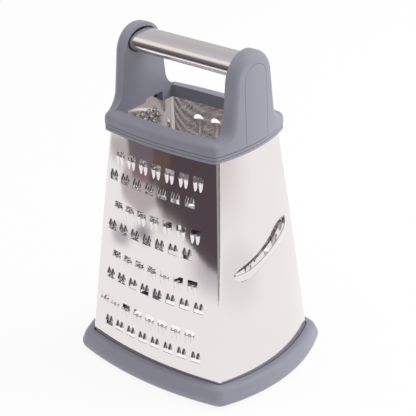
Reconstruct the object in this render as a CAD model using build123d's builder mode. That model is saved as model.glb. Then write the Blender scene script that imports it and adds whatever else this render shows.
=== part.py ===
"""Box grater with a collar, two uprights and an oval steel carrying tube.

All lengths are millimetres. +Z is up, and the origin is the middle of the base on the worktop.
The coarse face looks to -Y, the slicing face to +X, the shredding face to +Y and the fine face to -X.
"""
import math
import os
from collections import namedtuple

from build123d import *

# Overall
height = 244.0
overrun = 1.0
beyond = 2 * height

# Steel body: reach is the distance from the middle of the body to the middle of a wall
sheet = 0.6
body_foot_z = 3.0
body_top_z = 187.2
body_front_reach_foot = 60.1
body_front_reach_top = 36.4
body_side_reach_foot = 73.1
body_side_reach_top = 52.3
body_front_round = 275.0
body_side_round = 127.0
body_corner_radius = 3.0
seam_clearance = 0.1
seam_flange = 6.5
seam_edge = 0.3
ramp_setback = 0.3

# Coarse teeth: rows come in pairs, a row that cuts upwards over a row that cuts downwards
tooth_pitch = 11.8
tooth_pair_pitch = 37.6
tooth_row_drop = 17.0
tooth_first_z = 159.6
tooth_up_offset = -0.7
tooth_down_offset = -6.6
tooth_window_width = 8.0
tooth_window_height = 3.1
tooth_ramp_spacing = 4.2
tooth_ramp_radius = 1.7
tooth_ramp_lift = 0.2
tooth_ramp_length = 10.5
tooth_upper_sink = 15.5
tooth_lower_sink = 23.0
tooth_columns = [(-3, 3), (-3, 3), (-3, 3), (-3, 3), (-3, 3), (-3, 4), (-4, 3), (-3, 4)]

# Shredding holes, each with a hood below it
shred_pitch = 15.0
shred_row_pitch = 20.0
shred_first_z = 162.5
shred_rows = 7
shred_offset = -2.8
shred_margin = 9.0
shred_hole_radius = 4.5
shred_hood_radius = 4.2
shred_hood_lift = -0.9
shred_hood_length = 16.0
shred_hood_sink = 13.0

# Slicing slot: it climbs across the face, and the lip below it is its blade
slot_half_length = 29.8
slot_gap = 1.0
slot_bow = 3.5
slot_slope = 20.7
slot_middle_across = -2.5
slot_middle_z = 103.6
blade_radius = 20.0
blade_rise = 4.2
blade_half_run = 19.3

# Base ring
ring_height = 15.0
ring_flare = 11.4
ring_lean = 24.0
ring_corner_radius = 11.0
ring_top_round = 5.0
ring_foot_round = 6.0
ring_inner_wall = 2.4
ring_inner_height = 9.0
ring_opening_radius = 4.0
fit_clearance = 0.3

# Collar: the lip ring under the seam, the handle frame above it
lip_ring_z = 176.1
seam_z = 180.3
collar_top_z = 188.8
collar_front_reach = 42.1
collar_side_reach = 56.3
collar_front_round = 310.0
collar_side_round = 116.3
collar_front_lean = 5.7
collar_side_lean = 1.4
collar_corner_radius = 4.8
lip_ring_inset = 0.5
lip_groove = 0.4
lip_groove_height = 0.5
seam_groove = 0.8
seam_groove_height = 0.7
opening_half_depth = 29.2
opening_bow = 1.8
skirt_z = 179.5
window_half_width = 18.5
window_low_height = 4.8
window_high_height = 7.5
window_step = 0.5
window_depth = 7.4

# Uprights
upright_inner_x = 44.5
dome_radius = 19.7
flank_lean = 6.4
flare_radius = 12.5
frame_round = 4.9

# Carrying tube
tube_centre_z = 232.3
tube_half_depth = 13.7
tube_half_height = 7.7
tube_wall = 1.0
tube_gap = 1.0
tube_seat = 2.8
plug_length = 16.0
plug_clearance = 0.1

# Screws and end covers
screw_radius = 1.7
screw_head_radius = 3.4
screw_head_height = 2.4
screw_length = 15.0
screw_clearance = 0.1
screw_slot_width = 1.0
screw_slot_depth = 1.1
cover_half_width = 11.7
cover_depth = 1.8
screw_web = 3.1
cover_clearance = 0.25

Wall = namedtuple("Wall", "turn reach lean bow")


def lean_of(foot_reach, top_reach):
    return math.degrees(math.atan((foot_reach - top_reach) / (body_top_z - body_foot_z)))


def four_walls(front_reach, side_reach, front_lean, side_lean, front_round, side_round):
    """Front, right, rear and left walls of a bulged block."""
    front = (front_reach, front_lean, front_round)
    side = (side_reach, side_lean, side_round)
    return [Wall(-90, *front), Wall(0, *side), Wall(90, *front), Wall(180, *side)]


def wall_place(wall, level, across, z):
    """Place on a wall whose reach is taken at a level: x runs across it, y up it and z out of it."""
    lean = math.radians(wall.lean)
    swing = math.asin(across / wall.bow)
    drop = wall.bow * (1 - math.cos(swing))
    up = (z - level + drop * math.sin(lean)) / math.cos(lean)
    out = wall.reach - drop * math.cos(lean) - up * math.sin(lean)
    flat = Plane(origin=(out, across, z), x_dir=(0, 1, 0), z_dir=(math.cos(lean), 0, math.sin(lean)))
    turned = Location((0, 0, 0), (0, 0, wall.turn))
    return turned * flat.location * Location((0, 0, 0), (0, math.degrees(swing), 0))


def bulged_block(walls, level, low, high, insets, corner_radius):
    """Solid between four leaning round walls, each drawn in by its inset, with rounded corners."""
    with BuildPart() as block:
        with Locations((0, 0, (low + high) / 2)):
            Box(beyond, beyond, high - low)
        for wall, inset in zip(walls, insets):
            axis = wall_place(wall, level, 0, level) * Location((0, 0, -wall.bow), (90, 0, 0))
            with Locations(axis):
                Cylinder(wall.bow - inset, 2 * beyond, mode=Mode.INTERSECT)
        rising = [edge for edge in block.edges() if abs((edge @ 0).Z - (edge @ 1).Z) > (high - low) / 2]
        fillet(rising, corner_radius - min(insets))
    return block.part


body_walls = four_walls(
    body_front_reach_foot, body_side_reach_foot,
    lean_of(body_front_reach_foot, body_front_reach_top),
    lean_of(body_side_reach_foot, body_side_reach_top),
    body_front_round, body_side_round)
collar_walls = four_walls(
    collar_front_reach, collar_side_reach, collar_front_lean, collar_side_lean,
    collar_front_round, collar_side_round)
ring_walls = four_walls(
    body_front_reach_foot + ring_flare, body_side_reach_foot + ring_flare, ring_lean, ring_lean,
    body_front_round + ring_flare, body_side_round + ring_flare)
front_wall, right_wall, rear_wall = body_walls[:3]


def body_block(low, high, *insets):
    """Block with the outside of the steel body, drawn in by one inset or by one for each wall."""
    insets = insets if len(insets) == 4 else insets * 4
    return bulged_block(body_walls, body_foot_z, low, high, insets, body_corner_radius)


def collar_block(low, high, inset=0):
    """Block with the outside of the collar, drawn in by an inset."""
    return bulged_block(collar_walls, seam_z, low, high, [inset] * 4, collar_corner_radius)


def on_body(wall, across, z):
    return wall_place(wall, body_foot_z, across, z)


def body_corner(z):
    """Corner of the steel body at a height, where the front wall meets the right wall."""
    up = z - body_foot_z
    x, y = body_side_reach_foot, body_front_reach_foot
    for step in range(20):
        front_drop = body_front_round - math.sqrt(body_front_round ** 2 - x ** 2)
        side_drop = body_side_round - math.sqrt(body_side_round ** 2 - y ** 2)
        y = body_front_reach_foot - up * math.tan(math.radians(front_wall.lean)) - front_drop
        x = body_side_reach_foot - up * math.tan(math.radians(right_wall.lean)) - side_drop
    return x, y


# Ramps that are pressed out of the sheet, open at the cutting edge and flush at the tip
def ramp_places(units, spacing, start, lift, sink):
    """Places of the ramps of each unit: their rods start there and point down the wall and into it."""
    shares = (-0.5, 0.5) if spacing else (0,)
    return [unit * Location((share * spacing, start, lift), (90 + sink, 0, 0))
            for unit in units for share in shares]


def turned_over(place):
    return place * Location((0, 0, 0), (0, 0, 180))


# Coarse teeth
def tooth_units(first_z, offset, columns):
    """Places of the teeth of every other row."""
    return [on_body(front_wall, offset + column * tooth_pitch, first_z - pair * tooth_pair_pitch)
            for pair, (first, last) in enumerate(columns) for column in range(first, last + 1)]


def tooth_ramps(start):
    """Places of all the ramps, the longer ones of the upper rows and the short ones of the lower rows."""
    return (ramp_places(upper_teeth, tooth_ramp_spacing, start, tooth_ramp_lift, tooth_upper_sink)
            + ramp_places(lower_teeth, tooth_ramp_spacing, start, tooth_ramp_lift, tooth_lower_sink))


upper_teeth = tooth_units(tooth_first_z, tooth_up_offset, tooth_columns[::2])
lower_teeth = [turned_over(place) for place in
               tooth_units(tooth_first_z - tooth_row_drop, tooth_down_offset, tooth_columns[1::2])]
tooth_windows = [unit * Location((0, tooth_window_height / 2, 0)) for unit in upper_teeth + lower_teeth]
to_min = (Align.CENTER, Align.CENTER, Align.MIN)


# Blade of the slicing slot: it bends along the wall
slot_bend = body_side_round / math.cos(math.radians(slot_slope)) ** 2
blade_turn = math.degrees(blade_half_run / slot_bend)


def slot_slab(gap):
    """Slab between two arcs that sag in their middle, a gap apart."""
    with BuildPart() as slab:
        with BuildSketch():
            with BuildLine():
                ThreePointArc((-slot_half_length, 0), (0, -slot_bow), (slot_half_length, 0))
                Line((slot_half_length, 0), (slot_half_length, gap))
                ThreePointArc((slot_half_length, gap), (0, gap - slot_bow), (-slot_half_length, gap))
                Line((-slot_half_length, gap), (-slot_half_length, 0))
            make_face()
        extrude(amount=blade_radius, both=True)
    return slab.part


def blade(radius):
    """Lower half of a bent rod with round ends, cut along the lower edge of the slot."""
    rod_end = (Location((0, 0, -slot_bend), (0, blade_turn, 0))
               * Location((0, 0, slot_bend + blade_rise - blade_radius)))
    with BuildPart() as half:
        with BuildSketch(Plane.YZ):
            with Locations((0, blade_rise - blade_radius)):
                Circle(radius)
        revolve(axis=Axis((0, 0, -slot_bend), (0, 1, 0)), revolution_arc=blade_turn)
        with Locations(rod_end):
            Sphere(radius)
        split(bisect_by=Plane.XZ, keep=Keep.TOP)
        split(bisect_by=Plane.YZ, keep=Keep.TOP)
        mirror(about=Plane.YZ)
        add(slot_slab(slot_bow + overrun), mode=Mode.SUBTRACT)
    return half.part


slot_place = (on_body(right_wall, slot_middle_across, slot_middle_z)
              * Location((0, 0, 0), (0, 0, slot_slope)))


def front_room(edge):
    """Room around the coarse and the slicing face, up to an edge distance from the seam corners."""
    low_x, low_y = body_corner(body_foot_z)
    high_x, high_y = body_corner(body_top_z)
    rise = body_top_z - body_foot_z
    side = Plane(origin=(edge - low_x, 0, body_foot_z), x_dir=(0, 1, 0), z_dir=(rise, 0, high_x - low_x))
    back = Plane(origin=(0, low_y - edge, body_foot_z), x_dir=(1, 0, 0), z_dir=(0, -rise, high_y - low_y))
    with BuildPart() as room:
        Box(beyond, beyond, beyond)
        split(bisect_by=side, keep=Keep.TOP)
        split(bisect_by=back, keep=Keep.TOP)
    return room.part


# Front shell: the coarse face and the slicing face, bent from one sheet
with BuildPart() as front_shell:
    add(body_block(body_foot_z, body_top_z, 0))
    add(front_room(body_corner_radius + seam_edge), mode=Mode.INTERSECT)
    with Locations(*tooth_ramps(-ramp_setback)):
        Cylinder(tooth_ramp_radius, tooth_ramp_length, align=to_min)
    with Locations(*tooth_windows):
        Box(tooth_window_width, tooth_window_height, tooth_ramp_length, mode=Mode.SUBTRACT)
    with Locations(*tooth_ramps(overrun)):
        Cylinder(tooth_ramp_radius - sheet, tooth_ramp_length, align=to_min, mode=Mode.SUBTRACT)
    with Locations(slot_place):
        add(blade(blade_radius))
        add(blade(blade_radius - sheet), mode=Mode.SUBTRACT)
        add(slot_slab(slot_gap), mode=Mode.SUBTRACT)
    add(body_block(body_foot_z - overrun, body_top_z + overrun, sheet), mode=Mode.SUBTRACT)
front_shell.part.label = "front_shell"


# Shredding holes
def shred_units():
    units = []
    for row in range(shred_rows):
        z = shred_first_z - row * shred_row_pitch
        reach = body_corner(z)[0] - shred_margin
        offset = shred_offset + row % 2 * shred_pitch / 2
        first = math.ceil((-reach - offset) / shred_pitch)
        last = math.floor((reach - offset) / shred_pitch)
        for column in range(first, last + 1):
            units.append(on_body(rear_wall, offset + column * shred_pitch, z))
    return units


holes = shred_units()
shred_hoods = ramp_places(holes, 0, -ramp_setback, shred_hood_lift, shred_hood_sink)
shred_bores = ramp_places(holes, 0, overrun, shred_hood_lift, shred_hood_sink)
lap = sheet + seam_clearance

# Rear shell: the shredding face and the fine face, with a flange lapped inside each front seam
with BuildPart() as rear_shell:
    add(body_block(body_foot_z, body_top_z, lap, lap, 0, 0))
    with Locations(*shred_hoods):
        Cylinder(shred_hood_radius, shred_hood_length, align=to_min)
    with Locations(*holes):
        Cylinder(shred_hole_radius, shred_hood_length, arc_size=180,
                 align=(Align.CENTER, Align.MIN, Align.CENTER), mode=Mode.SUBTRACT)
    with Locations(*shred_bores):
        Cylinder(shred_hood_radius - sheet, shred_hood_length, align=to_min, mode=Mode.SUBTRACT)
    add(body_block(body_foot_z - overrun, body_top_z + overrun, lap + sheet, lap + sheet, sheet, sheet),
        mode=Mode.SUBTRACT)
    add(front_room(seam_flange), mode=Mode.SUBTRACT)
rear_shell.part.label = "rear_shell"

channel_inset = lap + sheet + fit_clearance


def steel_channel(low, high):
    """Room that the foot or the top of the steel body takes in a moulding."""
    with BuildPart() as channel:
        add(body_block(low, high, -fit_clearance))
        add(body_block(low - overrun, high + overrun, channel_inset), mode=Mode.SUBTRACT)
    return channel.part


# Base ring
with BuildPart() as base_ring:
    add(bulged_block(ring_walls, 0, 0, ring_height, [0] * 4, ring_corner_radius))
    fillet(base_ring.faces().sort_by(Axis.Z)[-1].edges(), ring_top_round)
    fillet(base_ring.faces().sort_by(Axis.Z)[0].edges(), ring_foot_round)
    add(steel_channel(body_foot_z, ring_height), mode=Mode.SUBTRACT)
    add(body_block(ring_inner_height, ring_height + overrun, 0), mode=Mode.SUBTRACT)
    add(bulged_block(body_walls, body_foot_z, -overrun, ring_height,
                     [channel_inset + ring_inner_wall] * 4,
                     channel_inset + ring_inner_wall + ring_opening_radius), mode=Mode.SUBTRACT)
base_ring.part.label = "base_ring"


def collar_band(low, high, inset):
    """Band that cuts the outside of the collar back to an inset."""
    with BuildPart() as band:
        add(collar_block(low, high, -overrun))
        add(collar_block(low - overrun, high + overrun, inset), mode=Mode.SUBTRACT)
    return band.part


# Lip ring: two beads with a groove between them
lip_groove_z = (lip_ring_z + seam_z - lip_groove_height) / 2
with BuildPart() as lip_ring:
    add(collar_block(lip_ring_z, seam_z, lip_ring_inset))
    add(collar_band(lip_groove_z, lip_groove_z + lip_groove_height, lip_ring_inset + lip_groove),
        mode=Mode.SUBTRACT)
    add(body_block(lip_ring_z - overrun, seam_z + overrun, -fit_clearance), mode=Mode.SUBTRACT)
lip_ring.part.label = "lip_ring"

# Outline of the uprights, seen along the tube
dome_z = height - dome_radius
lean_cos = math.cos(math.radians(flank_lean))
lean_sin = math.sin(math.radians(flank_lean))
dome_end = (dome_radius * lean_cos, dome_z + dome_radius * lean_sin)
flare_z = collar_top_z + flare_radius
flare_start_z = flare_z - flare_radius * lean_sin
flare_start = (dome_end[0] + (dome_end[1] - flare_start_z) * lean_sin / lean_cos, flare_start_z)
flare_y = flare_start[0] + flare_radius * lean_cos
flare_share = math.sqrt(0.5)
flare_middle = (flare_y - flare_radius * flare_share, flare_z - flare_radius * flare_share)
beam_y = collar_front_reach + overrun


def opposite(point):
    return (-point[0], point[1])


def inner_places(x):
    """Places on both uprights at the height of the tube, a distance from the middle, facing outwards."""
    return [Plane(origin=(side * x, 0, tube_centre_z), x_dir=(0, 1, 0), z_dir=(side, 0, 0))
            for side in (-1, 1)]


screw_seat_x = upright_inner_x + tube_seat + screw_web


def cover_block(half_width, low, inset):
    """Arched slab on the right upright, as deep as the end cover."""
    with BuildPart() as slab:
        with BuildSketch(Plane.YZ):
            with Locations((0, (low + dome_z) / 2)):
                Rectangle(2 * half_width, dome_z - low)
            with Locations((0, dome_z)):
                Circle(half_width)
        extrude(amount=collar_side_reach + overrun)
        add(collar_block(seam_z - overrun, height, inset), mode=Mode.INTERSECT)
        add(collar_block(seam_z - overrun, height + overrun, cover_depth), mode=Mode.SUBTRACT)
    return slab.part


# Handle frame: two beams, two uprights and the skirt inside the steel
with BuildPart() as handle_frame:
    add(collar_block(seam_z, height))
    with BuildSketch(Plane.YZ):
        with BuildLine():
            Polyline(flare_start, dome_end)
            ThreePointArc(dome_end, (0, height), opposite(dome_end))
            Line(opposite(dome_end), opposite(flare_start))
            ThreePointArc(opposite(flare_start), opposite(flare_middle), (-flare_y, collar_top_z))
            Polyline((-flare_y, collar_top_z), (-beam_y, collar_top_z), (-beam_y, seam_z),
                     (beam_y, seam_z), (beam_y, collar_top_z), (flare_y, collar_top_z))
            ThreePointArc((flare_y, collar_top_z), flare_middle, flare_start)
        make_face()
    extrude(amount=collar_side_reach + overrun, both=True, mode=Mode.INTERSECT)
    upper_loop = [edge for edge in handle_frame.edges()
                  if edge.center().Z > collar_top_z - overrun and edge.geom_type != GeomType.LINE]
    fillet(upper_loop, frame_round)
    with Locations((0, 0, collar_top_z)):
        Box(2 * upright_inner_x, 2 * beam_y, height, align=to_min, mode=Mode.SUBTRACT)
    add(body_block(skirt_z, seam_z, channel_inset))
    add(steel_channel(seam_z - overrun, body_top_z), mode=Mode.SUBTRACT)
    with BuildSketch(Plane.XY.offset(skirt_z - overrun)):
        with BuildLine():
            Line((upright_inner_x, opening_half_depth), (upright_inner_x, -opening_half_depth))
            ThreePointArc((upright_inner_x, -opening_half_depth), (0, -opening_half_depth - opening_bow),
                          (-upright_inner_x, -opening_half_depth))
            Line((-upright_inner_x, -opening_half_depth), (-upright_inner_x, opening_half_depth))
            ThreePointArc((-upright_inner_x, opening_half_depth), (0, opening_half_depth + opening_bow),
                          (upright_inner_x, opening_half_depth))
        make_face()
    extrude(amount=collar_top_z - skirt_z + 2 * overrun, mode=Mode.SUBTRACT)
    for side in (-1, 1):
        with BuildSketch(Plane(origin=(side * upright_inner_x, 0, skirt_z),
                               x_dir=(0, 1, 0), z_dir=(side, 0, 0))):
            with Locations((0, 0)):
                Rectangle(2 * window_half_width, 2 * window_low_height)
            with Locations((-side * (window_half_width + window_step) / 2, 0)):
                Rectangle(window_half_width - window_step, 2 * window_high_height)
        extrude(amount=window_depth, mode=Mode.SUBTRACT)
    for place in inner_places(upright_inner_x):
        with BuildSketch(place):
            Ellipse(tube_half_depth + tube_gap, tube_half_height + tube_gap)
        extrude(amount=tube_seat, mode=Mode.SUBTRACT)
        with BuildSketch(place):
            Circle(screw_radius + screw_clearance)
        extrude(amount=collar_side_reach, mode=Mode.SUBTRACT)
    for place in inner_places(screw_seat_x):
        with BuildSketch(place):
            Circle(screw_head_radius + screw_clearance)
        extrude(amount=collar_side_reach, mode=Mode.SUBTRACT)
    add(cover_block(cover_half_width, seam_z - overrun, -overrun), mode=Mode.SUBTRACT)
    mirror(cover_block(cover_half_width, seam_z - overrun, -overrun), about=Plane.YZ, mode=Mode.SUBTRACT)
    add(collar_band(seam_z, seam_z + seam_groove_height, seam_groove), mode=Mode.SUBTRACT)
handle_frame.part.label = "handle_frame"

# End covers
with BuildPart() as right_end_cover:
    add(cover_block(cover_half_width - cover_clearance, seam_z + seam_groove_height, 0))
right_end_cover.part.label = "right_end_cover"

with BuildPart() as left_end_cover:
    mirror(right_end_cover.part, about=Plane.YZ)
left_end_cover.part.label = "left_end_cover"

# Carrying tube
tube_half_length = upright_inner_x + tube_seat
with BuildPart() as handle_tube:
    with BuildSketch(Plane.YZ):
        with Locations((0, tube_centre_z)):
            Ellipse(tube_half_depth, tube_half_height)
            Ellipse(tube_half_depth - tube_wall, tube_half_height - tube_wall, mode=Mode.SUBTRACT)
    extrude(amount=tube_half_length, both=True)
handle_tube.part.label = "handle_tube"

# Plugs inside the ends of the tube
plug_inset = tube_wall + plug_clearance
with BuildPart() as right_tube_plug:
    with BuildSketch(Plane.YZ.offset(tube_half_length)):
        with Locations((0, tube_centre_z)):
            Ellipse(tube_half_depth - plug_inset, tube_half_height - plug_inset)
            Circle(screw_radius + screw_clearance, mode=Mode.SUBTRACT)
    extrude(amount=-plug_length)
right_tube_plug.part.label = "right_tube_plug"

with BuildPart() as left_tube_plug:
    mirror(right_tube_plug.part, about=Plane.YZ)
left_tube_plug.part.label = "left_tube_plug"

# Screws through the uprights into the plugs
with BuildPart() as handle_screws:
    for place in inner_places(screw_seat_x):
        with BuildSketch(place):
            Circle(screw_head_radius)
        extrude(amount=screw_head_height)
        with BuildSketch(place):
            Circle(screw_radius)
        extrude(amount=-screw_length)
        with BuildSketch(place.offset(screw_head_height)):
            Rectangle(2 * screw_head_radius, screw_slot_width)
        extrude(amount=-screw_slot_depth, mode=Mode.SUBTRACT)
handle_screws.part.label = "handle_screws"

if __name__ == "__main__":
    os.makedirs("parts", exist_ok=True)
    for sub_part in (front_shell, rear_shell, base_ring, lip_ring, handle_frame, left_end_cover,
                     right_end_cover, handle_tube, left_tube_plug, right_tube_plug, handle_screws):
        export_step(sub_part.part, f"parts/{sub_part.part.label}.step")
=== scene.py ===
"""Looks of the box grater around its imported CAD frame: materials, fine points, studio and camera."""
import math
import random

import bmesh
import bpy
from bpy.props import FloatProperty, FloatVectorProperty, IntProperty
from mathutils import Matrix, Vector


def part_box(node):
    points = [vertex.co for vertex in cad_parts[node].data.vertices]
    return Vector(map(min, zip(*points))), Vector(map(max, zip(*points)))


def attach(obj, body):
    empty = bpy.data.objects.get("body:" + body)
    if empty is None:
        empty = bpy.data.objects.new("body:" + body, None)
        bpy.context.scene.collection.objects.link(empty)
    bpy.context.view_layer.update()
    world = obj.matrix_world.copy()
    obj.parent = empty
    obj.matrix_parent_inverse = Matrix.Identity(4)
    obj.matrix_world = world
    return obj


bl_info = {
    "name": "Box grater looks",
    "version": (1, 0, 0),
    "blender": (4, 5, 0),
    "location": "View3D > Sidebar > Grater",
    "description": "Builds the looks and the studio of a box grater",
    "category": "Object",
}

SEED = 7
HALF = 0.5

# Sockets of the colour Mix node, which share their names with its other kinds
MIX_FIRST = 6
MIX_SECOND = 7
MIX_RESULT = 2

# Curve of sRGB levels
SRGB_TOP = 255
SRGB_KNEE = 0.04045
SRGB_SLOPE = 12.92
SRGB_LIFT = 0.055
SRGB_POWER = 2.4

# Waves and streaks of the sheet
WAVE_DETAIL = 1.5
STREAK_SQUEEZE = 0.04
STREAK_DETAIL = 4
STREAK_SHARE = 0.15
SMUDGE = 0.05

# Grain and clouds of the plastic
GRAIN_SIZE = 1800
GRAIN_DETAIL = 3
CLOUD_SIZE = 25
CLOUD_DARKEST = 0.97
CLOUD_TONE = 0.06
CLOUD_GLOSS = 0.08

# Fine points: reach at the top as a share of that at the foot, depth of a hole's star form, part of a
# petal's height that its root is sunk, and where the search for the wall starts, in metres
POINT_REACH_SHARE = 0.5
STAR_SHARE = 0.14
PETAL_SINK_SHARE = 0.25
PROBE_START = -1

# Studio: tones of the room by height, from straight down (0) over the horizon (0.5) to straight up (1)
ROOM_TONES = [(0.0, 0.75, 0.73, 0.72), (0.45, 0.75, 0.72, 0.72), (0.56, 0.95, 0.93, 0.92),
              (0.70, 1.0, 0.98, 0.99), (0.84, 0.90, 0.87, 0.92), (1.0, 1.25, 1.22, 1.24)]
# Painted reflections, seen only by glossy rays: patches of the room in the steel: azimuth, elevation, radius
# that is full, radius where it ends, tone
PAINTED_ROOM_REFLECTIONS = {
    "dark_camera_side": (-28, 8, 26, 34, (0.26, 0.24, 0.27)),
    "dark_front": (8, 22, 20, 36, (0.20, 0.18, 0.20)),
    "brown_side": (60, -12, 12, 24, (0.45, 0.33, 0.25)),
    "dark_horizon": (-35, -14, 17, 31, (0.175, 0.134, 0.155)),
    "cream_window": (-68, 43, 8, 16, (1.72, 1.60, 1.49)),
}
FLOOR_TONE = (0.92, 0.92, 0.92, 1)
FLOOR_ROUGHNESS = 0.9
FLOOR_GLOSS = 1.25
WHITE_FOR_CAMERA = 0.9
WHITE_FOR_STEEL = 0.94
WHITE = (1, 1, 1, 1)
# Painted shade and painted reflection tones on the floor's glow, seen only in the steel: x, y, radius that
# is full, radius where it ends, tone
PAINTED_FLOOR_SHADE_AND_REFLECTIONS = {
    "blue_left": (-0.275, -0.228, 0.012, 0.045, (0.50, 0.49, 0.52)),
    "blue_right": (-0.25, -0.30, 0.008, 0.044, (0.30, 0.29, 0.32)),
    "front_shade": (-0.27, -0.385, 0.03, 0.10, (0.80, 0.78, 0.78)),
    "edge_shade": (-0.02, -0.37, 0.03, 0.12, (0.52, 0.50, 0.54)),
    "slot_shade": (0.30, 0.07, 0.03, 0.12, (0.87, 0.86, 0.855)),
    "left_shade": (-0.54, -0.39, 0.03, 0.10, (0.50, 0.47, 0.47)),
    "right_shade": (0.78, 0.10, 0.12, 0.46, (0.76, 0.74, 0.73)),
}
FLOOR_CORNERS = [(-0.36, -0.44), (-0.31, -0.418), (-0.25, -0.413), (-0.19, -0.42), (-0.05, -0.355),
                 (0.10, -0.30), (3, -0.30), (3, 3), (-3, 3), (-3, -0.7), (-0.60, -0.45)]
LIGHT_SIZE = 1.2
LIGHT_DISTANCE = 1.6
SENSOR_WIDTH = 36
# Glowing cards on the floor that only the steel sees, painted reflections of the room: tone, corners
CARD_LIFT = 0.0005
PAINTED_REFLECTION_CARDS = {
    "grey_card": ((0.66, 0.59, 0.59, 1), [(-0.47, -0.375), (-0.335, -0.468), (-0.29, -0.40), (-0.30, -0.33),
                                          (-0.38, -0.30), (-0.44, -0.33)]),
    "slate_card": ((0.21, 0.18, 0.21, 1), [(-0.56, -0.45), (-0.455, -0.39), (-0.40, -0.47), (-0.46, -0.58),
                                           (-0.60, -0.62)]),
    "red_card": ((0.30, 0.20, 0.225, 1), [(-0.47, -0.415), (-0.42, -0.38), (-0.37, -0.44), (-0.41, -0.50)]),
    "brown_card": ((0.175, 0.12, 0.10, 1), [(-0.48, -0.58), (-0.37, -0.48), (-0.32, -0.50),
                                             (-0.34, -0.56), (-0.42, -0.68)]),
}

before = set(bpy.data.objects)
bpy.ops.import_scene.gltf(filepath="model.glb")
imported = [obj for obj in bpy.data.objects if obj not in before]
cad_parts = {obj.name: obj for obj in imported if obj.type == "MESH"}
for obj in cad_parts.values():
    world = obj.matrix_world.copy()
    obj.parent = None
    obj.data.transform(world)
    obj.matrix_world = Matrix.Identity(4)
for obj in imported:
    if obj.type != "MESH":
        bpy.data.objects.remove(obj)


# Node helpers
def new_group(name, inputs, outputs):
    """Shader node group with named sockets: each is (name, kind, value) going in and (name, kind) out."""
    group = bpy.data.node_groups.new(name, "ShaderNodeTree")
    for label, kind, value in inputs:
        socket = group.interface.new_socket(label, in_out="INPUT", socket_type="NodeSocket" + kind)
        socket.default_value = value
    for label, kind in outputs:
        group.interface.new_socket(label, in_out="OUTPUT", socket_type="NodeSocket" + kind)
    start = group.nodes.new("NodeGroupInput")
    end = group.nodes.new("NodeGroupOutput")
    return group, start.outputs, end.inputs


def add_node(tree, kind, **settings):
    """New shader node of a kind with its settings."""
    node = tree.nodes.new("ShaderNode" + kind)
    for key, value in settings.items():
        setattr(node, key, value)
    return node


def join(tree, source, target):
    """Links an output socket to an input socket."""
    tree.links.new(source, target)


def math_node(tree, operation, *values):
    """Result of a math operation on numbers and sockets."""
    node = add_node(tree, "Math", operation=operation)
    for socket, value in zip(node.inputs, values):
        if isinstance(value, (int, float)):
            socket.default_value = value
        else:
            join(tree, value, socket)
    return node.outputs[0]


def mix_colour(tree, factor, first, second, blend="MIX"):
    """Two colours, each a tone or a socket, mixed by a factor."""
    node = add_node(tree, "Mix", data_type="RGBA", blend_type=blend)
    sockets = node.inputs[0], node.inputs[MIX_FIRST], node.inputs[MIX_SECOND]
    for socket, value in zip(sockets, (factor, first, second)):
        if isinstance(value, bpy.types.NodeSocket):
            join(tree, value, socket)
        else:
            socket.default_value = value
    return node.outputs[MIX_RESULT]


def new_material(name):
    """New material with its node tree and its Principled shader."""
    material = bpy.data.materials.new(name)
    material.use_nodes = True
    return material, material.node_tree, material.node_tree.nodes["Principled BSDF"]


def use_group(tree, group, **values):
    """Node group in a tree, with values for its named inputs."""
    node = add_node(tree, "Group")
    node.node_tree = group
    for key, value in values.items():
        node.inputs[key.replace("_", " ")].default_value = value
    return node


def colour(*levels):
    """Linear colour of the given sRGB levels from 0 to 255."""
    linear = []
    for level in levels:
        share = level / SRGB_TOP
        curve = ((share + SRGB_LIFT) / (1 + SRGB_LIFT)) ** SRGB_POWER
        linear.append(share / SRGB_SLOPE if share <= SRGB_KNEE else curve)
    return (*linear, 1)


class SteelSettings(bpy.types.PropertyGroup):
    tint: FloatVectorProperty(name="Tint", description="Colour of the bare steel", subtype="COLOR",
                              size=4, min=0, max=1, default=(0.67, 0.634, 0.634, 1))
    roughness: FloatProperty(name="Roughness", description="Blur of the reflections",
                             default=0.05, min=0, max=1)
    ripple: FloatProperty(name="Ripple", description="Height of the rolling waves in the sheet",
                          default=0.00012, min=0, unit="LENGTH")
    wave: FloatProperty(name="Waves", description="How close the rolling waves lie", default=30, min=0)
    streak: FloatProperty(name="Streaks", description="How close the streaks lie", default=90, min=0)


class HandleSettings(bpy.types.PropertyGroup):
    tint: FloatVectorProperty(name="Tube tint", description="Colour of the satin tube", subtype="COLOR",
                              size=4, min=0, max=1, default=(0.80, 0.775, 0.76, 1))
    roughness: FloatProperty(name="Tube roughness", description="Blur of the tube's reflections",
                             default=0.15, min=0, max=1)
    ripple: FloatProperty(name="Tube ripple", description="Height of the brushed streaks",
                          default=0.00001, min=0, unit="LENGTH")
    wave: FloatProperty(name="Tube waves", description="How close the tube's waves lie", default=40, min=0)
    streak: FloatProperty(name="Tube streaks", description="How close the tube's streaks lie", default=300,
                          min=0)
    screw_tint: FloatVectorProperty(name="Screw tint", description="Colour of the screws", subtype="COLOR",
                                    size=4, min=0, max=1, default=colour(160, 160, 160))
    screw_roughness: FloatProperty(name="Screw roughness", description="Blur of the screws' reflections",
                                   default=0.3, min=0, max=1)


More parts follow.
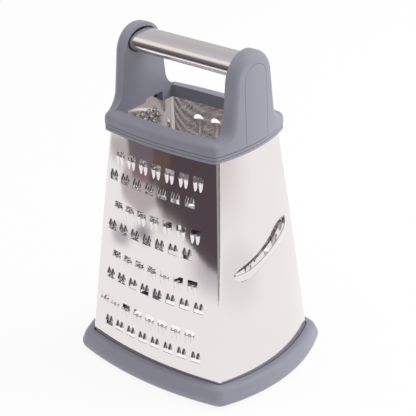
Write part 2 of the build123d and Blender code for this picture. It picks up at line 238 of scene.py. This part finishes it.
class PointSettings(bpy.types.PropertyGroup):
    pitch: FloatProperty(name="Pitch", description="Distance between fine points in a row",
                         default=0.006, min=0.002, unit="LENGTH")
    row_pitch: FloatProperty(name="Row pitch", description="Drop from one row of points to the next",
                             default=0.0045, min=0.002, unit="LENGTH")
    rows: IntProperty(name="Rows", description="Rows of points on the fine face", default=33, min=1)
    first_height: FloatProperty(name="First height", description="Height of the top row",
                                default=0.1711, unit="LENGTH")
    margin: FloatProperty(name="Margin", description="Bare edge beside the outer points",
                          default=0.014, min=0, unit="LENGTH")
    bore: FloatProperty(name="Bore", description="Radius of the hole in a point",
                        default=0.00135, min=0.0001, unit="LENGTH")
    root: FloatProperty(name="Root", description="Radius of the petals' root circle",
                        default=0.0016, min=0.0001, unit="LENGTH")
    tip: FloatProperty(name="Tip", description="Distance of the petals' tips from the middle",
                       default=0.0005, min=0, unit="LENGTH")
    rise: FloatProperty(name="Rise", description="Height of the petals' tips over the sheet",
                        default=0.0011, min=0.0001, unit="LENGTH")
    pit: FloatProperty(name="Pit", description="Radius of the dimple round a hole",
                       default=0.0024, min=0.0001, unit="LENGTH")
    petals: IntProperty(name="Petals", description="Petals round a hole", default=5, min=3)


class PlasticSettings(bpy.types.PropertyGroup):
    tint: FloatVectorProperty(name="Tint", description="Colour of the plastic", subtype="COLOR",
                              size=4, min=0, max=1, default=colour(150, 151, 164))
    roughness: FloatProperty(name="Roughness", description="Roughness of the moulded surface",
                             default=0.42, min=0, max=1)
    plug_tint: FloatVectorProperty(name="Plug tint", description="Colour of the tube's plugs",
                                   subtype="COLOR", size=4, min=0, max=1, default=colour(58, 59, 64))
    grain: FloatProperty(name="Grain", description="Height of the moulded grain",
                         default=0.00003, min=0, unit="LENGTH")


class StudioSettings(bpy.types.PropertyGroup):
    azimuth: FloatProperty(name="Azimuth", description="Turn of the camera round the grater",
                           default=math.radians(40.023), unit="ROTATION")
    elevation: FloatProperty(name="Elevation", description="Height of the camera over the horizon",
                             default=math.radians(27.147), unit="ROTATION")
    roll: FloatProperty(name="Roll", description="Turn of the camera about its view",
                        default=math.radians(-1.554), unit="ROTATION")
    distance: FloatProperty(name="Distance", description="Distance from the camera to its target",
                            default=0.951377, min=0.1, unit="LENGTH")
    target_side: FloatProperty(name="Target side", description="Target's place to the right of the middle",
                               default=0.008239, unit="LENGTH")
    target_height: FloatProperty(name="Target height", description="Target's height over the floor",
                                 default=0.113516, unit="LENGTH")
    lens: FloatProperty(name="Lens", description="Focal length on a 36 mm sensor", default=115.046, min=1)
    room: FloatProperty(name="Room", description="Strength of the room's soft light", default=0.62, min=0)
    key_azimuth: FloatProperty(name="Key azimuth", description="Side that the key light stands on",
                               default=math.radians(138), unit="ROTATION")
    key_elevation: FloatProperty(name="Key elevation", description="Height of the key light",
                                 default=math.radians(40), unit="ROTATION")
    key_power: FloatProperty(name="Key power", description="Power of the key light", default=14.5, min=0,
                             unit="POWER")
    fill_azimuth: FloatProperty(name="Fill azimuth", description="Side that the fill light stands on",
                                default=math.radians(-20), unit="ROTATION")
    fill_elevation: FloatProperty(name="Fill elevation", description="Height of the fill light",
                                  default=math.radians(76), unit="ROTATION")
    fill_power: FloatProperty(name="Fill power", description="Power of the fill light", default=2.5, min=0,
                              unit="POWER")


def ripple_group():
    """Rolling waves of bent sheet and faint streaks along it."""
    inputs = [("Wave Size", "Float", 30.0), ("Streak Size", "Float", 90.0), ("Smudge", "Float", SMUDGE)]
    outputs = [("Height", "Float"), ("Roughness Shift", "Float")]
    group, given, out = new_group("sheet_ripple", inputs, outputs)
    place = add_node(group, "TexCoord").outputs["Object"]
    wave = add_node(group, "TexNoise")
    join(group, place, wave.inputs["Vector"])
    join(group, given["Wave Size"], wave.inputs["Scale"])
    wave.inputs["Detail"].default_value = WAVE_DETAIL
    squeeze = add_node(group, "Mapping")
    squeeze.inputs["Scale"].default_value = (1, 1, STREAK_SQUEEZE)
    join(group, place, squeeze.inputs["Vector"])
    streak = add_node(group, "TexNoise")
    join(group, squeeze.outputs[0], streak.inputs["Vector"])
    join(group, given["Streak Size"], streak.inputs["Scale"])
    streak.inputs["Detail"].default_value = STREAK_DETAIL
    low_streak = math_node(group, "MULTIPLY", streak.outputs[0], STREAK_SHARE)
    join(group, math_node(group, "ADD", wave.outputs[0], low_streak), out["Height"])
    smudge = math_node(group, "MULTIPLY", streak.outputs[0], given["Smudge"])
    join(group, smudge, out["Roughness Shift"])
    return group


def grain_group():
    """Fine grain of a moulded surface with slight colour and gloss changes."""
    inputs = [("Tint", "Color", (0.5, 0.5, 0.5, 1)), ("Grain Size", "Float", GRAIN_SIZE),
              ("Roughness", "Float", 0.4)]
    outputs = [("Colour", "Color"), ("Gloss", "Float"), ("Height", "Float")]
    group, given, out = new_group("moulded_grain", inputs, outputs)
    place = add_node(group, "TexCoord").outputs["Object"]
    grain = add_node(group, "TexNoise")
    join(group, place, grain.inputs["Vector"])
    join(group, given["Grain Size"], grain.inputs["Scale"])
    grain.inputs["Detail"].default_value = GRAIN_DETAIL
    cloud = add_node(group, "TexNoise")
    join(group, place, cloud.inputs["Vector"])
    cloud.inputs["Scale"].default_value = CLOUD_SIZE
    lift = math_node(group, "MULTIPLY", cloud.outputs[0], CLOUD_TONE)
    shade = math_node(group, "ADD", CLOUD_DARKEST, lift)
    tinted = mix_colour(group, 1, given["Tint"], shade, "MULTIPLY")
    join(group, tinted, out["Colour"])
    swing = math_node(group, "MULTIPLY", math_node(group, "SUBTRACT", cloud.outputs[0], HALF), CLOUD_GLOSS)
    gloss = math_node(group, "ADD", given["Roughness"], swing)
    join(group, gloss, out["Gloss"])
    join(group, grain.outputs[0], out["Height"])
    return group


def make_steel(name, tint, roughness, ripple, wave, streak):
    """Bare steel with rolling waves and streaks."""
    material, tree, shader = new_material(name)
    shader.inputs["Base Color"].default_value = tint
    shader.inputs["Metallic"].default_value = 1
    effect = use_group(tree, bpy.data.node_groups["sheet_ripple"], Wave_Size=wave, Streak_Size=streak)
    blur = math_node(tree, "ADD", roughness, effect.outputs["Roughness Shift"])
    join(tree, blur, shader.inputs["Roughness"])
    bump = add_node(tree, "Bump")
    bump.inputs["Distance"].default_value = ripple
    join(tree, effect.outputs["Height"], bump.inputs["Height"])
    join(tree, bump.outputs[0], shader.inputs["Normal"])
    return material


def hole_group():
    """Staggered fine points: an alpha that is zero in their holes, and the height of their dimples."""
    inputs = [("Pitch", "Float", 0.006), ("Row Pitch", "Float", 0.0045), ("First Height", "Float", 0.1711),
              ("Rows", "Float", 33.0), ("Bore", "Float", 0.00135), ("Foot Reach", "Float", 0.05),
              ("Top Reach", "Float", 0.025), ("Top Height", "Float", 0.19), ("Pit", "Float", 0.0024),
              ("Petals", "Float", 5.0)]
    group, given, out = new_group("fine_holes", inputs, [("Alpha", "Float"), ("Height", "Float")])
    place = add_node(group, "TexCoord")
    parts = add_node(group, "SeparateXYZ")
    join(group, place.outputs["Object"], parts.inputs[0])

    def work(operation, *values):
        return math_node(group, operation, *values)

    row = work("DIVIDE", work("SUBTRACT", given["First Height"], parts.outputs["Z"]), given["Row Pitch"])
    near_row = work("ROUND", row)
    drop = work("MULTIPLY", work("SUBTRACT", row, near_row), given["Row Pitch"])
    shift = work("MULTIPLY", work("MODULO", work("ABSOLUTE", near_row), 2.0), HALF)
    column = work("SUBTRACT", work("DIVIDE", parts.outputs["Y"], given["Pitch"]), shift)
    near_column = work("ROUND", column)
    aside = work("MULTIPLY", work("SUBTRACT", column, near_column), given["Pitch"])
    round_away = work("SQRT", work("ADD", work("POWER", drop, 2.0), work("POWER", aside, 2.0)))
    turn = work("MULTIPLY", work("ARCTAN2", drop, aside), given["Petals"])
    away = work("MULTIPLY", round_away, work("MULTIPLY_ADD", work("COSINE", turn), STAR_SHARE, 1.0))
    centre = work("ABSOLUTE", work("MULTIPLY", work("ADD", near_column, shift), given["Pitch"]))
    height = work("SUBTRACT", given["First Height"], work("MULTIPLY", near_row, given["Row Pitch"]))
    share = work("DIVIDE", height, given["Top Height"])
    narrowing = work("MULTIPLY", work("SUBTRACT", given["Foot Reach"], given["Top Reach"]), share)
    reach = work("SUBTRACT", given["Foot Reach"], narrowing)
    tests = [work("LESS_THAN", centre, reach), work("GREATER_THAN", near_row, -HALF),
             work("LESS_THAN", near_row, given["Rows"]), work("LESS_THAN", parts.outputs["X"], 0.0)]
    pierced = tests[0]
    for test in tests[1:]:
        pierced = work("MULTIPLY", pierced, test)
    hole = work("MULTIPLY", pierced, work("LESS_THAN", away, given["Bore"]))
    join(group, work("SUBTRACT", 1.0, hole), out["Alpha"])
    facing = add_node(group, "SeparateXYZ")
    join(group, place.outputs["Normal"], facing.inputs[0])
    cone = add_node(group, "MapRange", interpolation_type="SMOOTHSTEP")
    join(group, away, cone.inputs["Value"])
    join(group, given["Pit"], cone.inputs["From Min"])
    join(group, given["Bore"], cone.inputs["From Max"])
    raised = work("MULTIPLY", work("MULTIPLY", cone.outputs["Result"], pierced),
                  work("MULTIPLY", work("SIGN", facing.outputs["X"]), -1.0))
    join(group, raised, out["Height"])
    return group


def make_plastic(name, tint, roughness, grain):
    """Moulded plastic with a fine grain."""
    material, tree, shader = new_material(name)
    effect = use_group(tree, bpy.data.node_groups["moulded_grain"], Tint=tint, Roughness=roughness)
    join(tree, effect.outputs["Colour"], shader.inputs["Base Color"])
    join(tree, effect.outputs["Gloss"], shader.inputs["Roughness"])
    bump = add_node(tree, "Bump")
    bump.inputs["Distance"].default_value = grain
    join(tree, effect.outputs["Height"], bump.inputs["Height"])
    join(tree, bump.outputs[0], shader.inputs["Normal"])
    return material


def dress(names, material):
    """Gives CAD nodes a material."""
    for name in names:
        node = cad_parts[name]
        node.data.materials.clear()
        node.data.materials.append(material)


def point_places(settings, foot_reach, top_reach, top_height):
    """Middle of each fine point as (across, height) on the fine face."""
    for row in range(settings.rows):
        height = settings.first_height - row * settings.row_pitch
        reach = foot_reach - (foot_reach - top_reach) * height / top_height
        shift = (row % 2) / 2
        last = math.ceil(reach / settings.pitch)
        for column in range(-last, last + 1):
            across = (column + shift) * settings.pitch
            if abs(across) < reach:
                yield across, height


def make_crown(mesh, spot, normal, settings):
    """Ring of pointed petals round a hole, raised along the wall's normal."""
    side = Vector((0, 1, 0)).cross(normal).normalized()
    ahead = normal.cross(side)
    turn = random.uniform(0, math.tau)
    half = math.pi / settings.petals
    sunk = spot - normal * settings.rise * PETAL_SINK_SHARE
    for petal in range(settings.petals):
        middle = turn + petal * math.tau / settings.petals
        ring = []
        for angle in (middle - half, middle, middle + half):
            out = side * math.cos(angle) + ahead * math.sin(angle)
            ring.append(mesh.verts.new(sunk + out * settings.root))
        out = side * math.cos(middle) + ahead * math.sin(middle)
        tip = mesh.verts.new(spot + out * settings.tip + normal * settings.rise)
        mesh.faces.new((ring[0], ring[1], tip))
        mesh.faces.new((ring[1], ring[2], tip))


def make_points(settings, foot_reach, top_reach, top_height, material):
    """Crowns of small petals round the holes, raised outwards from the fine face."""
    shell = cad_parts["rear_shell"]
    into = shell.matrix_world.inverted()
    toward = (into.to_3x3() @ Vector((1, 0, 0))).normalized()
    mesh = bmesh.new()
    for across, height in point_places(settings, foot_reach, top_reach, top_height):
        hit, spot, normal, face = shell.ray_cast(into @ Vector((PROBE_START, across, height)), toward)
        if hit:
            normal = (shell.matrix_world.to_3x3() @ normal).normalized()
            make_crown(mesh, shell.matrix_world @ spot, normal, settings)
    if not mesh.faces:
        raise RuntimeError("no fine point met the fine face")
    data = bpy.data.meshes.new("fine_points")
    mesh.to_mesh(data)
    mesh.free()
    data.materials.append(material)
    points = bpy.data.objects.new("fine_points", data)
    bpy.context.scene.collection.objects.link(points)
    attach(points, "root")


class GRATER_OT_steel(bpy.types.Operator):
    """Polished steel of the front shell"""
    bl_idname = "grater.steel"
    bl_label = "Dress the steel body"

    def execute(self, context):
        settings = context.scene.grater_steel
        ripple_group()
        steel = make_steel("polished_steel", settings.tint, settings.roughness, settings.ripple,
                           settings.wave, settings.streak)
        dress(["front_shell"], steel)
        return {"FINISHED"}


class GRATER_OT_points(bpy.types.Operator):
    """Steel of the rear shell with the fine points of its left face"""
    bl_idname = "grater.points"
    bl_label = "Make the fine points"

    def execute(self, context):
        sheet = context.scene.grater_steel
        settings = context.scene.grater_points
        low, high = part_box("rear_shell")
        foot_reach = -low[1] - settings.margin
        top_reach = foot_reach * POINT_REACH_SHARE
        hole_group()
        steel = make_steel("pierced_steel", sheet.tint, sheet.roughness, sheet.ripple, sheet.wave,
                           sheet.streak)
        tree = steel.node_tree
        holes = use_group(tree, bpy.data.node_groups["fine_holes"], Pitch=settings.pitch,
                          Row_Pitch=settings.row_pitch, First_Height=settings.first_height,
                          Rows=float(settings.rows), Bore=settings.bore, Foot_Reach=foot_reach,
                          Top_Reach=top_reach, Top_Height=high[2], Pit=settings.pit,
                          Petals=float(settings.petals))
        shader = tree.nodes["Principled BSDF"]
        join(tree, holes.outputs["Alpha"], shader.inputs["Alpha"])
        dimple = add_node(tree, "Bump")
        dimple.inputs["Distance"].default_value = settings.rise
        join(tree, holes.outputs["Height"], dimple.inputs["Height"])
        join(tree, shader.inputs["Normal"].links[0].from_socket, dimple.inputs["Normal"])
        join(tree, dimple.outputs[0], shader.inputs["Normal"])
        dress(["rear_shell"], steel)
        random.seed(SEED)
        make_points(settings, foot_reach, top_reach, high[2], bpy.data.materials["polished_steel"])
        return {"FINISHED"}


class GRATER_OT_plastic(bpy.types.Operator):
    """Grey plastic of the ring, the collar and the covers"""
    bl_idname = "grater.plastic"
    bl_label = "Dress the plastic"

    def execute(self, context):
        settings = context.scene.grater_plastic
        grain_group()
        slate = make_plastic("slate_plastic", settings.tint, settings.roughness, settings.grain)
        dress(["base_ring", "lip_ring", "handle_frame", "left_end_cover", "right_end_cover"], slate)
        dark = make_plastic("dark_plastic", settings.plug_tint, settings.roughness, settings.grain)
        dress(["left_tube_plug", "right_tube_plug"], dark)
        return {"FINISHED"}


class GRATER_OT_handle(bpy.types.Operator):
    """Satin carrying tube and its screws"""
    bl_idname = "grater.handle"
    bl_label = "Dress the carrying tube"

    def execute(self, context):
        settings = context.scene.grater_handle
        sheet = context.scene.grater_steel
        tube = make_steel("satin_tube", settings.tint, settings.roughness, settings.ripple,
                          settings.wave, settings.streak)
        dress(["handle_tube"], tube)
        screws = make_steel("screw_steel", settings.screw_tint, settings.screw_roughness, settings.ripple,
                            sheet.wave, sheet.streak)
        dress(["handle_screws"], screws)
        return {"FINISHED"}


def direction(azimuth, elevation):
    """Unit vector out from the grater: azimuth 0 is the coarse face's side and 90 the slicing face's."""
    return Vector((math.sin(azimuth) * math.cos(elevation), -math.cos(azimuth) * math.cos(elevation),
                   math.sin(elevation)))


def area_light(name, azimuth, elevation, power):
    """Square soft light at an azimuth and an elevation, turned to the middle of the grater's foot."""
    light = bpy.data.lights.new(name, "AREA")
    light.size = LIGHT_SIZE
    light.energy = power
    lamp = bpy.data.objects.new(name, light)
    bpy.context.scene.collection.objects.link(lamp)
    back = direction(azimuth, elevation)
    lamp.location = back * LIGHT_DISTANCE
    lamp.rotation_euler = back.to_track_quat("Z", "Y").to_euler()
    lamp.visible_glossy = False


def white_where(tree, shader, rays, share, strength=1.0, tone=None):
    """Mixes a shader with plain white, or with a tone of it, for the named kinds of rays."""
    white = add_node(tree, "Emission")
    white.inputs["Strength"].default_value = strength
    if tone is not None:
        join(tree, tone, white.inputs["Color"])
    path = add_node(tree, "LightPath")
    seen = path.outputs[rays[0]]
    for ray in rays[1:]:
        seen = math_node(tree, "MAXIMUM", seen, path.outputs[ray])
    mixed = add_node(tree, "MixShader")
    join(tree, math_node(tree, "MULTIPLY", seen, share), mixed.inputs[0])
    join(tree, shader, mixed.inputs[1])
    join(tree, white.outputs[0], mixed.inputs[2])
    return mixed.outputs[0]


def room_patch_group():
    """Mask of a round patch of the room: one near its middle and zero beyond its end."""
    inputs = [("Middle", "Vector", (0, 0, 1)), ("Full Cosine", "Float", 0.9), ("End Cosine", "Float", 0.8)]
    group, given, out = new_group("room_patch", inputs, [("Mask", "Float")])
    nearness = add_node(group, "VectorMath", operation="DOT_PRODUCT")
    join(group, add_node(group, "TexCoord").outputs["Generated"], nearness.inputs[0])
    join(group, given["Middle"], nearness.inputs[1])
    fade = add_node(group, "MapRange", interpolation_type="SMOOTHSTEP")
    join(group, nearness.outputs["Value"], fade.inputs["Value"])
    join(group, given["End Cosine"], fade.inputs["From Min"])
    join(group, given["Full Cosine"], fade.inputs["From Max"])
    join(group, fade.outputs["Result"], out["Mask"])
    return group


def room_light(strength):
    """World that is white for the camera and a soft room for light, with patches of painted reflection that
    only glossy rays see.
    """
    world = bpy.data.worlds.new("studio")
    bpy.context.scene.world = world
    world.use_nodes = True
    tree = world.node_tree
    tree.nodes.clear()
    parts = add_node(tree, "SeparateXYZ")
    join(tree, add_node(tree, "TexCoord").outputs["Generated"], parts.inputs[0])
    ramp = add_node(tree, "ValToRGB")
    join(tree, math_node(tree, "MULTIPLY_ADD", parts.outputs["Z"], HALF, HALF), ramp.inputs[0])
    stops = ramp.color_ramp.elements
    while len(stops) < len(ROOM_TONES):
        stops.new(1)
    for stop, (height, *tone) in zip(stops, ROOM_TONES):
        stop.position = height
        stop.color = (*tone, 1)
    group = room_patch_group()
    glossy = add_node(tree, "LightPath").outputs["Is Glossy Ray"]
    tone_so_far = ramp.outputs[0]
    for azimuth, elevation, full, end, tone in PAINTED_ROOM_REFLECTIONS.values():
        middle = direction(math.radians(azimuth), math.radians(elevation))
        patch = use_group(tree, group, Middle=middle, Full_Cosine=math.cos(math.radians(full)),
                          End_Cosine=math.cos(math.radians(end)))
        # Painted reflection: the patch shows only where glossy rays see the room
        share = math_node(tree, "MULTIPLY", patch.outputs["Mask"], glossy)
        tone_so_far = mix_colour(tree, share, tone_so_far, (*tone, 1))
    room = add_node(tree, "Background")
    join(tree, tone_so_far, room.inputs["Color"])
    room.inputs["Strength"].default_value = strength
    out = add_node(tree, "OutputWorld")
    join(tree, white_where(tree, room.outputs[0], ["Is Camera Ray"], 1), out.inputs["Surface"])


def stage_plate(name, corners, height, material):
    """Flat plate of the stage through the given corners."""
    mesh = bpy.data.meshes.new(name)
    mesh.from_pydata([(x, y, height) for x, y in corners], [], [tuple(range(len(corners)))])
    mesh.materials.append(material)
    plate = bpy.data.objects.new(name, mesh)
    bpy.context.scene.collection.objects.link(plate)
    return plate


def floor_patch_group():
    """Mask of a round patch of the floor: one near its middle and zero beyond its end."""
    inputs = [("Middle", "Vector", (0, 0, 0)), ("Full Radius", "Float", 0.01), ("End Radius", "Float", 0.05)]
    group, given, out = new_group("floor_patch", inputs, [("Mask", "Float")])
    away = add_node(group, "VectorMath", operation="DISTANCE")
    join(group, add_node(group, "TexCoord").outputs["Object"], away.inputs[0])
    join(group, given["Middle"], away.inputs[1])
    fade = add_node(group, "MapRange", interpolation_type="SMOOTHSTEP")
    join(group, away.outputs["Value"], fade.inputs["Value"])
    join(group, given["End Radius"], fade.inputs["From Min"])
    join(group, given["Full Radius"], fade.inputs["From Max"])
    join(group, fade.outputs["Result"], out["Mask"])
    return group


def make_floor():
    """Pale floor, white for the camera but for the shadow, and glowing bright in the steel with soft patches
    of painted shade and painted reflection.
    """
    material, tree, shader = new_material("paper")
    shader.inputs["Base Color"].default_value = FLOOR_TONE
    shader.inputs["Roughness"].default_value = FLOOR_ROUGHNESS
    shader.inputs["Specular IOR Level"].default_value = 0
    camera = white_where(tree, shader.outputs[0], ["Is Camera Ray"], WHITE_FOR_CAMERA)
    group = floor_patch_group()
    tone_so_far = WHITE
    # Painted shade and painted reflection: each patch darkens the floor's glow in the steel
    for x, y, full, end, tone in PAINTED_FLOOR_SHADE_AND_REFLECTIONS.values():
        patch = use_group(tree, group, Middle=(x, y, 0), Full_Radius=full, End_Radius=end)
        shade = mix_colour(tree, patch.outputs["Mask"], WHITE, (*tone, 1))
        tone_so_far = mix_colour(tree, 1, tone_so_far, shade, "MULTIPLY")
    seen = white_where(tree, camera, ["Is Glossy Ray", "Is Transmission Ray"], WHITE_FOR_STEEL, FLOOR_GLOSS,
                       tone_so_far)
    join(tree, seen, tree.nodes["Material Output"].inputs["Surface"])
    stage_plate("floor", FLOOR_CORNERS, 0, material)


def make_cards():
    """Glowing toned cards on the floor that only the steel sees: painted reflections of the room."""
    for index, (name, (tone, corners)) in enumerate(PAINTED_REFLECTION_CARDS.items()):
        material = bpy.data.materials.new(name)
        material.use_nodes = True
        tree = material.node_tree
        tree.nodes.clear()
        glow = add_node(tree, "Emission")
        glow.inputs["Color"].default_value = tone
        out = add_node(tree, "OutputMaterial")
        join(tree, glow.outputs[0], out.inputs["Surface"])
        card = stage_plate(name, corners, (index + 1) * CARD_LIFT, material)
        # Painted reflection: the glowing card shows only in glossy rays
        card.visible_camera = False
        card.visible_diffuse = False
        card.visible_transmission = False
        card.visible_shadow = False


def make_camera(settings):
    """Camera that looks at its target from an azimuth and an elevation, turned by a roll."""
    camera = bpy.data.cameras.new("camera")
    camera.sensor_width = SENSOR_WIDTH
    camera.lens = settings.lens
    seat = bpy.data.objects.new("camera", camera)
    bpy.context.scene.collection.objects.link(seat)
    azimuth, roll = settings.azimuth, settings.roll
    back = direction(azimuth, settings.elevation)
    level = Vector((math.cos(azimuth), math.sin(azimuth), 0))
    rise = back.cross(level)
    right = math.cos(roll) * level + math.sin(roll) * rise
    up = math.cos(roll) * rise - math.sin(roll) * level
    target = Vector((settings.target_side * math.cos(azimuth), settings.target_side * math.sin(azimuth),
                     settings.target_height))
    turn = Matrix((right, up, back)).transposed()
    seat.matrix_world = Matrix.Translation(target + back * settings.distance) @ turn.to_4x4()
    bpy.context.scene.camera = seat


class GRATER_OT_studio(bpy.types.Operator):
    """White studio with soft light and the camera"""
    bl_idname = "grater.studio"
    bl_label = "Build the studio"

    def execute(self, context):
        settings = context.scene.grater_studio
        room_light(settings.room)
        make_floor()
        make_cards()
        area_light("key_light", settings.key_azimuth, settings.key_elevation, settings.key_power)
        area_light("fill_light", settings.fill_azimuth, settings.fill_elevation, settings.fill_power)
        make_camera(settings)
        context.scene.view_settings.view_transform = "Standard"
        return {"FINISHED"}


class GRATER_PT_sidebar(bpy.types.Panel):
    """Settings of the grater"""
    bl_label = "Box grater"
    bl_idname = "GRATER_PT_sidebar"
    bl_space_type = "VIEW_3D"
    bl_region_type = "UI"
    bl_category = "Grater"

    def draw(self, context):
        for name, kind in GROUPS.items():
            for key in kind.__annotations__:
                self.layout.prop(getattr(context.scene, name), key)
        for operator in OPERATORS:
            self.layout.operator(operator.bl_idname)


GROUPS = {"grater_steel": SteelSettings, "grater_points": PointSettings, "grater_plastic": PlasticSettings,
          "grater_handle": HandleSettings, "grater_studio": StudioSettings}
OPERATORS = (GRATER_OT_steel, GRATER_OT_points, GRATER_OT_plastic, GRATER_OT_handle, GRATER_OT_studio)


def register():
    """Adds the settings, the operators and the panel."""
    for name, group in GROUPS.items():
        bpy.utils.register_class(group)
        setattr(bpy.types.Scene, name, bpy.props.PointerProperty(type=group))
    for operator in OPERATORS:
        bpy.utils.register_class(operator)
    bpy.utils.register_class(GRATER_PT_sidebar)


def unregister():
    """Takes the panel, the operators and the settings out again."""
    bpy.utils.unregister_class(GRATER_PT_sidebar)
    for operator in reversed(OPERATORS):
        bpy.utils.unregister_class(operator)
    for name, group in GROUPS.items():
        delattr(bpy.types.Scene, name)
        bpy.utils.unregister_class(group)


def main():
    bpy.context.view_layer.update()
    register()
    bpy.ops.grater.steel()
    bpy.ops.grater.points()
    bpy.ops.grater.plastic()
    bpy.ops.grater.handle()
    bpy.ops.grater.studio()


if __name__ == "__main__":
    main()
